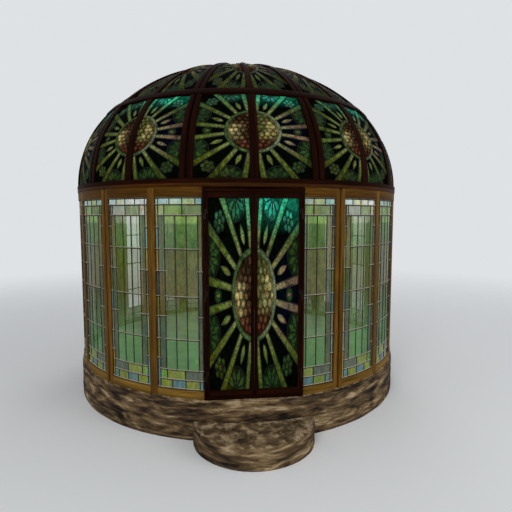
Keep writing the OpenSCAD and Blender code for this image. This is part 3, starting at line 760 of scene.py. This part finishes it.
def wall_light(from_deg, to_deg, mirrored, clear, clip=None):
    """One light's panes and came lines, between two angles from the doorway, cut off at the clip angles."""
    panes = light_panes(clear, mirrored)
    if mirrored:
        panes = [(1 - b, 1 - a, *rest) for a, b, *rest in panes]
    low, high = clip or (from_deg, to_deg)
    span, tall = to_deg - from_deg, LIGHT_TOP - LIGHT_FOOT
    came_deg = math.degrees(WALL_CAME_R / GLASS_R)
    sheet, uprights_lead, levels_lead = Sheet(), Lines(), Lines()
    level, upright = {}, {}

    def deg(u):
        return min(high, max(low, from_deg + span * u))

    def height(f):
        return LIGHT_TOP - tall * f

    for a, b, top, foot, shares, body in panes:
        d0, d1 = deg(a), deg(b)
        if d1 - d0 < SLIVER_DEG:
            continue
        for f in (top, foot):
            level.setdefault(round(f, 4), []).append((d0, d1))
        for d in (d0, d1):
            upright.setdefault(round(d, 3), []).append((top, foot))
        rim = min(PUTTY_AND_SHADOW_RIM, TURN(d1 - d0) * GLASS_R / 4)
        rim_deg = math.degrees(rim / GLASS_R)
        steps = max(1, math.ceil((d1 - d0) / ARC_STEP_DEG))
        turns = [d0] + [d0 + rim_deg + (d1 - d0 - 2 * rim_deg) * k / steps for k in range(steps + 1)] + [d1]
        # From the foot up, with the rim's inner edge beside both ends
        low_z, high_z = height(foot) + rim, height(top) - rim
        levels = [high_z + (low_z - high_z) * share for share, _ in reversed(shares)]
        levels = [height(foot), *levels, height(top)]
        tints = [(*tint, body) for _, tint in reversed(shares)]
        tints = [tints[0], *tints, tints[-1]]
        # The dimmed rim is partly putty and patina, partly a painted shadow of the cames
        putty_and_shadow_rims = [(*(c * PUTTY_AND_SHADOW_DIM for c in tint[:3]), min(1, body + PUTTY_AND_SHADOW_BODY)) for tint in tints]
        for i, (e0, e1) in enumerate(zip(turns, turns[1:])):
            for j, (z0, z1) in enumerate(zip(levels, levels[1:])):
                corners = ((e0, z0, i, j), (e1, z0, i + 1, j), (e1, z1, i + 1, j + 1), (e0, z1, i, j + 1))
                sheet.face([on_wall(e, z) for e, z, _, _ in corners],
                           [(putty_and_shadow_rims if m in (0, len(turns) - 1) or n in (0, len(levels) - 1) else tints)[n]
                            for _, _, m, n in corners])
    bars = []
    for f, d0, d1 in came_runs(level):
        z = min(LIGHT_TOP - LEVEL_CAME_R, max(LIGHT_FOOT + LEVEL_CAME_R, height(f)))
        steps = max(2, math.ceil((d1 - d0) / ARC_STEP_DEG))
        levels_lead.line([on_wall(d0 + (d1 - d0) * k / steps, z) for k in range(steps + 1)])
        bars.append((z, d0, d1))
    for d, a, b in came_runs(upright):
        d = min(high - came_deg, max(low + came_deg, d))
        uprights_lead.line([on_wall(d, height(b)), on_wall(d, height(a))])
        for z, d0, d1 in bars:
            meet = d0 - SOLDER_DEG < d < d1 + SOLDER_DEG
            if meet and height(b) - SOLDER_REACH < z < height(a) + SOLDER_REACH:
                levels_lead.joint(on_wall(d, z), on_wall(d, 0).normalized())
    return sheet.mesh("panes"), joined("cames", [
        uprights_lead.mesh("cames", WALL_CAME_R, wall_lead), levels_lead.mesh("cames", LEVEL_CAME_R, wall_lead)])


LEFT_LIGHT = (JOINT_HALF_DEG, BAY_DEG / 2 - MID_HALF_DEG)
RIGHT_LIGHT = (BAY_DEG / 2 + MID_HALF_DEG, BAY_DEG - JOINT_HALF_DEG)
LAST_DEG = FIRST_JOINT_DEG - BAY_DEG
left_light = wall_light(*LEFT_LIGHT, True, False)
right_light = wall_light(*RIGHT_LIGHT, False, False)
clear_light = wall_light(*RIGHT_LIGHT, False, True)
by_left_jamb = wall_light(*(LAST_DEG - BAY_DEG + d for d in RIGHT_LIGHT), False, False,
                          (LAST_DEG - BAY_DEG + RIGHT_LIGHT[0], -JAMB_DEG))
by_right_jamb = wall_light(*(LAST_DEG + d for d in RIGHT_LIGHT), False, False,
                           (JAMB_DEG, LAST_DEG + RIGHT_LIGHT[1]))
# In two bays at the back the right-hand light is glazed clear
sheets, cames = [], []
for number, ((sheet, came), count, first, step) in enumerate((
        (left_light, BAYS - 1, FIRST_JOINT_DEG, BAY_DEG),
        (right_light, 3, FIRST_JOINT_DEG, 3 * BAY_DEG),
        (right_light, 3, FIRST_JOINT_DEG + BAY_DEG, 3 * BAY_DEG),
        (clear_light, 2, FIRST_JOINT_DEG + 2 * BAY_DEG, 3 * BAY_DEG),
        (by_left_jamb, 1, 0, 0),
        (by_right_jamb, 1, 0, 0))):
    seed = WALL_SEED + number
    sheets.append(around(sheet, "wall_panes", count, first, step, seed, leaded_glass))
    cames.append(around(came, "wall_cames", count, first, step, seed, wall_lead))
place_piece("wall_panes", joined("wall_panes", sheets), "gazebo",
            [f"wall_glass_{n}" for n in range(1, BAYS + 1)], leaded_glass)
place_piece("wall_cames", joined("wall_cames", cames), "gazebo", [], wall_lead)


# Stained panels: a sunburst round a jewelled medallion, from -1 to 1 across a whole bay and up it

RAY_GREEN, RAY_TEAL, RAY_TAN, RAY_GOLD = (linear(c) for c in ("#5a6b2a", "#38c898", "#7d6553", "#6f7120"))
RAY_GLOW = linear("#969a62")
GROUND, GROUND_TEAL, GROUND_BLUE = (linear(c) for c in ("#040803", "#126a54", "#040813"))
FIELD, FIELD_GOLD, FIELD_TEAL = (linear(c) for c in ("#2a471d", "#444f18", "#28bea2"))
RING_GREEN, RING_PALE = linear("#486238"), linear("#717a60")
JEWEL_BROWN, JEWEL_CREAM, JEWEL_RED, JEWEL_LIME = (linear(c) for c in ("#5e4430", "#dcc888", "#733d2e", "#828848"))
# Leaves are given by their start, length and half width, and rays by their half widths
FAN_R, FAN_PETAL, FAN_LEANS_DEG = 0.25, (0.04, 0.2, 0.046), (-70, -35, 0, 35, 70)
BORDER_LEAF, ROUNDEL_LEAF = (0.56, 0.25, 0.042), (0.746, 0.108, 0.025)
RAY_START, RAY_END, RAY_NARROW, RAY_WIDE = 0.47, 1.6, 0.034, 0.066
# On the axes, and in the corners: how far the pair of rays spreads, and where the roundel or rosette sits
RAY_SPREAD_DEG, HUB_REACH = (9, 10), (0.8, 1.08)
ROUNDEL_R, LOBE_R, LOBE_REACH, HEART_R = 0.075, 0.043, 0.082, 0.036
MEDALLION, JEWEL_FIELD, RING_SIDES = 0.5, 0.44, 64
JEWEL_PITCH, JEWEL_STRAY, JEWEL_R, JEWEL_GROWTH, LEAST_JEWEL = 0.098, 0.036, 0.046, 0.016, 0.02
# Layers above this one have the heavier cames
HEAVY_LAYER = 3
# The glass is cut into cells and its cames into steps, so that they follow the dome
CELL, CAME_STEP = 0.125, 0.1


def ray_tint(x, y):
    """Green rays, golden to the lower left, tan to the right and teal at the head, that glow near the middle."""
    tint = shade(RAY_GREEN, RAY_GOLD, 0.7 * ramp_up(0.1, 0.9, -x) * ramp_up(0.2, 0.9, -y))
    tint = shade(tint, RAY_TAN, ramp_up(0.3, 0.7, x) * (1 - ramp_up(0.3, 0.6, abs(y))))
    tint = shade(tint, RAY_TEAL, ramp_up(0.5, 0.98, y) * (0.25 + 0.75 * ramp_up(-0.5, 0.4, x)))
    far = math.hypot(x, y)
    tint = shade(tint, RAY_GLOW, 0.45 * (1 - ramp_up(0.5, 0.8, far)))
    return shade(tint, GROUND, 0.55 * ramp_up(0.65, 1.25, far - 0.5 * ramp_up(0.6, 1, y)))


def ground_tint(x, y):
    """Nearly black glass behind it all, bluer to the right and teal at the head."""
    tint = shade(GROUND, GROUND_BLUE, ramp_up(0.2, 0.8, x) * (1 - ramp_up(0.2, 0.7, abs(y))))
    return shade(tint, GROUND_TEAL, ramp_up(0.62, 1, y) * ramp_up(-0.5, 0.7, x))


def field_tint(x, y):
    """Deep green petals, golden to the lower left and teal at the head."""
    tint = shade(FIELD, FIELD_GOLD, ramp_up(0.1, 0.8, -x) * ramp_up(0.4, 1, -y))
    return shade(tint, FIELD_TEAL, ramp_up(0.55, 1, y) * (0.2 + 0.8 * ramp_up(-0.5, 0.4, x)))


def ring_tint(x, y):
    """Green round the medallion, paler to the right."""
    return shade(RING_GREEN, RING_PALE, ramp_up(-0.1, 0.45, x))


def field_shade(x, y):
    """The dark arch behind a fan of petals."""
    return tuple(c * 0.35 for c in field_tint(x, y))


def jewel_tint(x, y):
    """Brown jewels, red below and lime above, with two creamy patches."""
    tint = shade(JEWEL_BROWN, JEWEL_LIME, ramp_up(-0.1, 0.2, x) * ramp_up(-0.35, 0.1, y))
    tint = shade(tint, JEWEL_RED, ramp_up(0.1, 0.36, -y) * 0.8)
    glow = ramp_up(0.14, 0.36, -x) * (1 - ramp_up(0.08, 0.26, abs(y + 0.05)))
    glow = max(glow, 0.7 * ramp_up(0.1, 0.32, x) * (1 - ramp_up(0.1, 0.3, abs(y - 0.05))))
    return shade(tint, JEWEL_CREAM, glow)


def jewel_bed(x, y):
    """The dark bed that the jewels are set in."""
    return tuple(c * 0.2 for c in jewel_tint(x, y))


def turned(points, deg):
    """Points turned about the middle of the panel."""
    c, s = math.cos(TURN(deg)), math.sin(TURN(deg))
    return [(x * c - y * s, x * s + y * c) for x, y in points]


def rounded(centre, reach, count, turn=0.0):
    """A round outline with this many corners."""
    return [(centre[0] + reach * math.cos(turn + math.tau * k / count),
             centre[1] + reach * math.sin(turn + math.tau * k / count)) for k in range(count)]


def inset(outline, rim):
    """An outline that runs counterclockwise, drawn in by a rim."""
    inner, count = [], len(outline)
    for k, (x, y) in enumerate(outline):
        (ax, ay), (bx, by) = outline[k - 1], outline[(k + 1) % count]
        first, second = Vector((x - ax, y - ay)).normalized(), Vector((bx - x, by - y)).normalized()
        lean = Vector((-(first.y + second.y), first.x + second.x))
        lean *= rim * 2 / max(0.5, lean.length_squared)
        inner.append((x + lean.x, y + lean.y))
    return inner


def leaf_shape(start, length, half_width, steps=7):
    """A pointed leaf that lies along x."""
    edge = [(start + length * k / steps, -half_width * math.sin(math.pi * (k / steps) ** 0.8))
            for k in range(steps + 1)]
    return edge + [(x, -y) for x, y in edge[-2:0:-1]]


def moved(points, place):
    """Points moved from the middle of the panel to a place on it."""
    return [(x + place[0], y + place[1]) for x, y in points]


def sunburst():
    """The panel's glass as (corners with their brightness and rise, tint function, lift), and its cames' lines."""
    pieces, lines = [], []

    def piece(outline, tint, lift, rim, edge=0.3, crown=0.0, leaded=True):
        inner = inset(outline, rim)
        for k in range(len(outline)):
            n = (k + 1) % len(outline)
            pieces.append(([(*outline[k], edge, 0), (*outline[n], edge, 0),
                            (*inner[n], 1, crown), (*inner[k], 1, crown)], tint, lift))
        pieces.append(([(*p, 1, crown) for p in inner], tint, lift))
        if leaded:
            lines.append((outline + outline[:1], lift > HEAVY_LAYER))

    for k in range(8):
        heading = 45 * k
        corner = k % 2
        # A fan of petals in an arch at the border, with a leaf before it
        between = heading + 22.5
        tip = turned([(1, 0)], between)[0]
        border = 1 / max(abs(tip[0]), abs(tip[1]))
        foot = (tip[0] * border, tip[1] * border)
        piece(rounded(foot, FAN_R, 20), field_shade, lift=0.9, rim=0.05)
        for lean in FAN_LEANS_DEG:
            petal = turned(leaf_shape(*FAN_PETAL), between + 180 + lean)
            piece(moved(petal, foot), field_tint, lift=1.6, rim=0.018, edge=0.35)
        piece(turned(leaf_shape(*BORDER_LEAF), between), ray_tint, lift=2, rim=0.018)
        # A pair of rays
        for side in (-1, 1):
            ray = [(RAY_START, -RAY_NARROW), (RAY_END, -RAY_WIDE), (RAY_END, RAY_WIDE), (RAY_START, RAY_NARROW)]
            piece(turned(ray, heading + side * RAY_SPREAD_DEG[corner]), ray_tint, lift=4.2, rim=0.022, edge=0.35)
        # A six-lobed rosette in the corners, a roundel with a small leaf on the axes
        hub = turned([(HUB_REACH[corner], 0)], heading)[0]
        if corner:
            for lobe in range(6):
                petal = turned([(LOBE_REACH, 0)], 60 * lobe + heading)[0]
                piece(rounded((hub[0] + petal[0], hub[1] + petal[1]), LOBE_R, 10), field_tint,
                      lift=2, rim=0.02, edge=0.25)
            piece(rounded(hub, HEART_R, 10), ray_tint, lift=2, rim=0.016)
        else:
            piece(rounded(hub, ROUNDEL_R, 16), field_tint, lift=1.6, rim=0.03, edge=0.2)
            piece(turned(leaf_shape(*ROUNDEL_LEAF), heading), ray_tint, lift=2.4, rim=0.01)
    # A ring round the medallion, brightest along its middle
    outer, middle, inner = (rounded((0, 0), r, RING_SIDES)
                            for r in (MEDALLION, (MEDALLION + JEWEL_FIELD) / 2, JEWEL_FIELD))
    for low, high, low_glow, high_glow in ((inner, middle, 0.4, 1), (middle, outer, 1, 0.4)):
        for k in range(RING_SIDES):
            n = (k + 1) % RING_SIDES
            pieces.append(([(*low[k], low_glow, 0), (*high[k], high_glow, 0),
                            (*high[n], high_glow, 0), (*low[n], low_glow, 0)], ring_tint, 6.2))
    pieces.append(([(*p, 1, 0) for p in inner], jewel_bed, 5.6))
    lines.extend(((outer + outer[:1], True), (inner + inner[:1], True)))
    # Rough jewels crowd the medallion in staggered rows
    for row in range(-5, 6):
        for k in range(-6, 6):
            x = (k + 0.5 * (row % 2)) * JEWEL_PITCH + JEWEL_STRAY * (chance(row, k) - 0.5)
            y = row * JEWEL_PITCH * 0.88 + JEWEL_STRAY * (chance(k, row) - 0.5)
            size = min(JEWEL_R + JEWEL_GROWTH * chance(row + 3, k + 5), JEWEL_FIELD - math.hypot(x, y))
            if size > LEAST_JEWEL:
                tint = shade(jewel_tint(x, y), GROUND, 0.6 * chance(x * 7, y * 9))
                piece(rounded((x, y), size, 9, chance(x, y) * 2), lambda *at, tint=tint: tint,
                      lift=5.8, rim=size * 0.55, edge=0.1, crown=8, leaded=False)
    return pieces, lines


def cut_side(points, axis, limit, keep_high):
    """The part of an outline on one side of a straight line."""
    kept = []
    for p, q in zip(points, points[1:] + points[:1]):
        p_in, q_in = ((v[axis] >= limit) == keep_high or v[axis] == limit for v in (p, q))
        if p_in:
            kept.append(p)
        if p_in != q_in:
            t = (limit - p[axis]) / (q[axis] - p[axis])
            kept.append(tuple(a + (b - a) * t for a, b in zip(p, q)))
    return kept


def cut_to(points, x0, x1, y0, y1):
    """The part of an outline inside a box."""
    for axis, limit, keep_high in ((0, x0, True), (0, x1, False), (1, y0, True), (1, y1, False)):
        points = cut_side(points, axis, limit, keep_high)
        if len(points) < 3:
            return []
    return points


def runs_inside(line, x0, x1, y0, y1):
    """The stretches of a came's line that lie in a light, in short steps."""
    runs, run = [], []
    for p, q in zip(line, line[1:]):
        start, end = 0.0, 1.0
        for axis, low, high in ((0, x0, x1), (1, y0, y1)):
            way = q[axis] - p[axis] or 1e-9
            near, far = sorted(((low - p[axis]) / way, (high - p[axis]) / way))
            start, end = max(start, near), min(end, far)
        if start > 0 or start >= end:
            runs.append(run)
            run = []
        if start < end:
            steps = max(1, math.ceil(math.dist(p, q) * (end - start) / CAME_STEP))
            shares = [start + (end - start) * k / steps for k in range(steps + 1)]
            points = [(p[0] + (q[0] - p[0]) * t, p[1] + (q[1] - p[1]) * t) for t in shares]
            run = run + points[1:] if run else points
    return [r for r in runs + [run] if len(r) > 1]


def stained_light(name, surface, x0, x1, depth):
    """The glass and cames of one light of a sunburst, laid on a surface given as surface(x, y, lift). The depth
    says how much of the tints' brightness is left."""
    sheet, fine_lead, ray_lead = Sheet(), Lines(), Lines()
    pieces, lines = sunburst()

    def lay(outline, tint, lift):
        xs, ys = [p[0] for p in outline], [p[1] for p in outline]
        low_x, high_x = max(x0, min(xs)), min(x1, max(xs))
        low_y, high_y = max(-1, min(ys)), min(1, max(ys))
        if low_x >= high_x or low_y >= high_y:
            return
        for i in range(math.floor(low_x / CELL), math.ceil(high_x / CELL)):
            for j in range(math.floor(low_y / CELL), math.ceil(high_y / CELL)):
                part = cut_to(outline, max(x0, i * CELL), min(x1, (i + 1) * CELL),
                              max(-1, j * CELL), min(1, (j + 1) * CELL))
                if len(part) < 3:
                    continue
                tints = [(*(c * glow * depth for c in tint(x, y)), 1) for x, y, glow, _ in part]
                sheet.face([surface(x, y, lift * LIFT + rise * MM) for x, y, _, rise in part], tints)
                sheet.face([surface(x, y, -lift * LIFT - rise * MM) for x, y, _, rise in reversed(part)], tints[::-1])

    lay([(x0, -1, 1, 0), (x1, -1, 1, 0), (x1, 1, 1, 0), (x0, 1, 1, 0)], ground_tint, 0.5)
    for outline, tint, lift in pieces:
        lay(outline, tint, lift)
    for line, is_ray in lines:
        for run in runs_inside(line, x0, x1, -1, 1):
            (ray_lead if is_ray else fine_lead).line([surface(x, y, 0) for x, y in run])
    return sheet.mesh(name), joined(name, [
        fine_lead.mesh(name, STAINED_CAME_R, dark_lead), ray_lead.mesh(name, RAY_CAME_R, dark_lead)])


def on_dome(x, y, lift, foot_deg, head_deg, radius, centre_out, centre_z):
    """A point of a dome light in the front bay, lifted off its glass."""
    rise = TURN(foot_deg + (head_deg - foot_deg) * (y + 1) / 2)
    turn = TURN(x * (BAY_DEG / 2 - MAIN_RIB_HALF_DEG) - 90)
    reach = radius - DOME_GLASS_DEPTH + lift
    out = centre_out + reach * math.cos(rise)
    return Vector((out * math.cos(turn), out * math.sin(turn), centre_z + reach * math.sin(rise)))


def on_lower(x, y, lift):
    return on_dome(x, y, lift, LOWER_FOOT_DEG, LOWER_HEAD_DEG, LOWER_R, LOWER_X, SPRING_Z)


def on_upper(x, y, lift):
    return on_dome(x, y, lift, UPPER_FOOT_DEG, UPPER_HEAD_DEG, UPPER_R, 0, UPPER_Z)


def on_door(x, y, lift):
    """A point of the doors' glass, with both leaves as one panel."""
    return Vector((x * PANE_OUT, PANE_Y - lift, PANE_FOOT + (PANE_TOP - PANE_FOOT) * (y + 1) / 2))


# Where the middle rib and the meeting stiles end a half panel
RIB_EDGE = MID_RIB_HALF_DEG / (BAY_DEG / 2 - MAIN_RIB_HALF_DEG)
STILE_EDGE = PANE_IN / PANE_OUT

# The dome's glass is a deeper melt than the doors', most of all at the top
for tier, surface, depth in (("lower", on_lower, 0.78), ("upper", on_upper, 0.55)):
    halves = [stained_light(tier, surface, *edges, depth) for edges in ((-1, -RIB_EDGE), (RIB_EDGE, 1))]
    panes, leads = zip(*halves)
    for name, meshes, nodes, finish in (
            (f"{tier}_dome_stained_glass", panes, [f"{tier}_dome_glass"], stained_glass),
            (f"{tier}_dome_cames", leads, [], dark_lead)):
        ring = around(joined(name, meshes), name, BAYS, 0, BAY_DEG, DOME_SEED, finish)
        place_piece(name, ring, "gazebo", nodes, finish)

for side, edges in (("left", (-1, -STILE_EDGE)), ("right", (STILE_EDGE, 1))):
    sheet, came = stained_light(f"{side}_door", on_door, *edges, 1)
    place_piece(f"{side}_door_stained_glass", sheet, f"{side}_leaf",
                [f"{side}_leaf_glass"], stained_glass)
    place_piece(f"{side}_door_cames", came, f"{side}_leaf", [], dark_lead)


# Stage: pale floor that fades into a pale backdrop, soft light, the camera where the photograph's was

FLOOR_REACH, FADE_FROM, FADE_TO = 60, 4, 14
LAMP_AIM, LAMP_SIZE = (0, 0, 2), 6

stage_floor = bpy.data.objects.new("stage_floor", bpy.data.meshes.new("stage_floor"))
stage_floor.data.from_pydata(
    [(x * FLOOR_REACH, y * FLOOR_REACH, 0) for x, y in ((-1, -1), (1, -1), (1, 1), (-1, 1))], [], [(0, 1, 2, 3)])
bpy.context.scene.collection.objects.link(stage_floor)
stage_material, stage_tree, stage_shader = new_material(
    "pale_floor", Base_Color=(*linear("#f0f1f2"), 1), Roughness=0.9, Specular_IOR_Level=0.1)
floor_place = add(stage_tree, "ShaderNodeTexCoord").outputs["Object"]
far = add(stage_tree, "ShaderNodeVectorMath", {0: floor_place}, operation="LENGTH").outputs["Value"]
fade = add(stage_tree, "ShaderNodeMapRange", {
    "Value": far, "From Min": FADE_FROM, "From Max": FADE_TO, "To Min": 1, "To Max": 0},
    interpolation_type="SMOOTHSTEP")
stage_tree.links.new(fade.outputs[0], stage_shader.inputs["Alpha"])
stage_floor.data.materials.append(stage_material)

world = bpy.data.worlds.new("soft_studio")
bpy.context.scene.world = world
world.use_nodes = True
sky = world.node_tree
sky.nodes.clear()
ray = add(sky, "ShaderNodeLightPath").outputs
seen = add(sky, "ShaderNodeMath", {0: ray["Is Camera Ray"], 1: ray["Is Glossy Ray"]}, operation="MAXIMUM").outputs[0]
seen = add(sky, "ShaderNodeMath", {0: seen, 1: ray["Is Transmission Ray"]}, operation="MAXIMUM").outputs[0]
# The backdrop is brighter to the eye and in reflections than it is as light
strength = add(sky, "ShaderNodeMapRange", {"Value": seen, "To Min": 0.55, "To Max": 0.95}).outputs[0]
backdrop = add(sky, "ShaderNodeBackground", {"Color": (*linear("#e4e7ea"), 1), "Strength": strength})
add(sky, "ShaderNodeOutputWorld", {"Surface": backdrop.outputs[0]})

for name, place, watts in (
        ("key_lamp", (-3.5, -10.3, 7.5), 395), ("fill_lamp", (8, -7, 5), 200), ("back_lamp", (3, 9, 8), 200)):
    lamp = bpy.data.lights.new(name, "AREA")
    lamp.shape = "DISK"
    lamp.size = LAMP_SIZE
    lamp.energy = watts
    holder = bpy.data.objects.new(name, lamp)
    holder.location = place
    holder.rotation_euler = (Vector(LAMP_AIM) - Vector(place)).to_track_quat("-Z", "Y").to_euler()
    bpy.context.scene.collection.objects.link(holder)

camera = bpy.data.cameras.new("photo_camera")
camera.sensor_fit = "HORIZONTAL"
camera.sensor_width = 36
camera.lens = 31.177
camera.clip_end = 200
view = bpy.data.objects.new("photo_camera", camera)
view.location = (-0.4625, -6.298, 2.237)
view.rotation_euler = (TURN(90 - 5.29), 0, TURN(-6.46))
bpy.context.scene.collection.objects.link(view)
bpy.context.scene.camera = view

bpy.context.scene.view_settings.view_transform = "Standard"
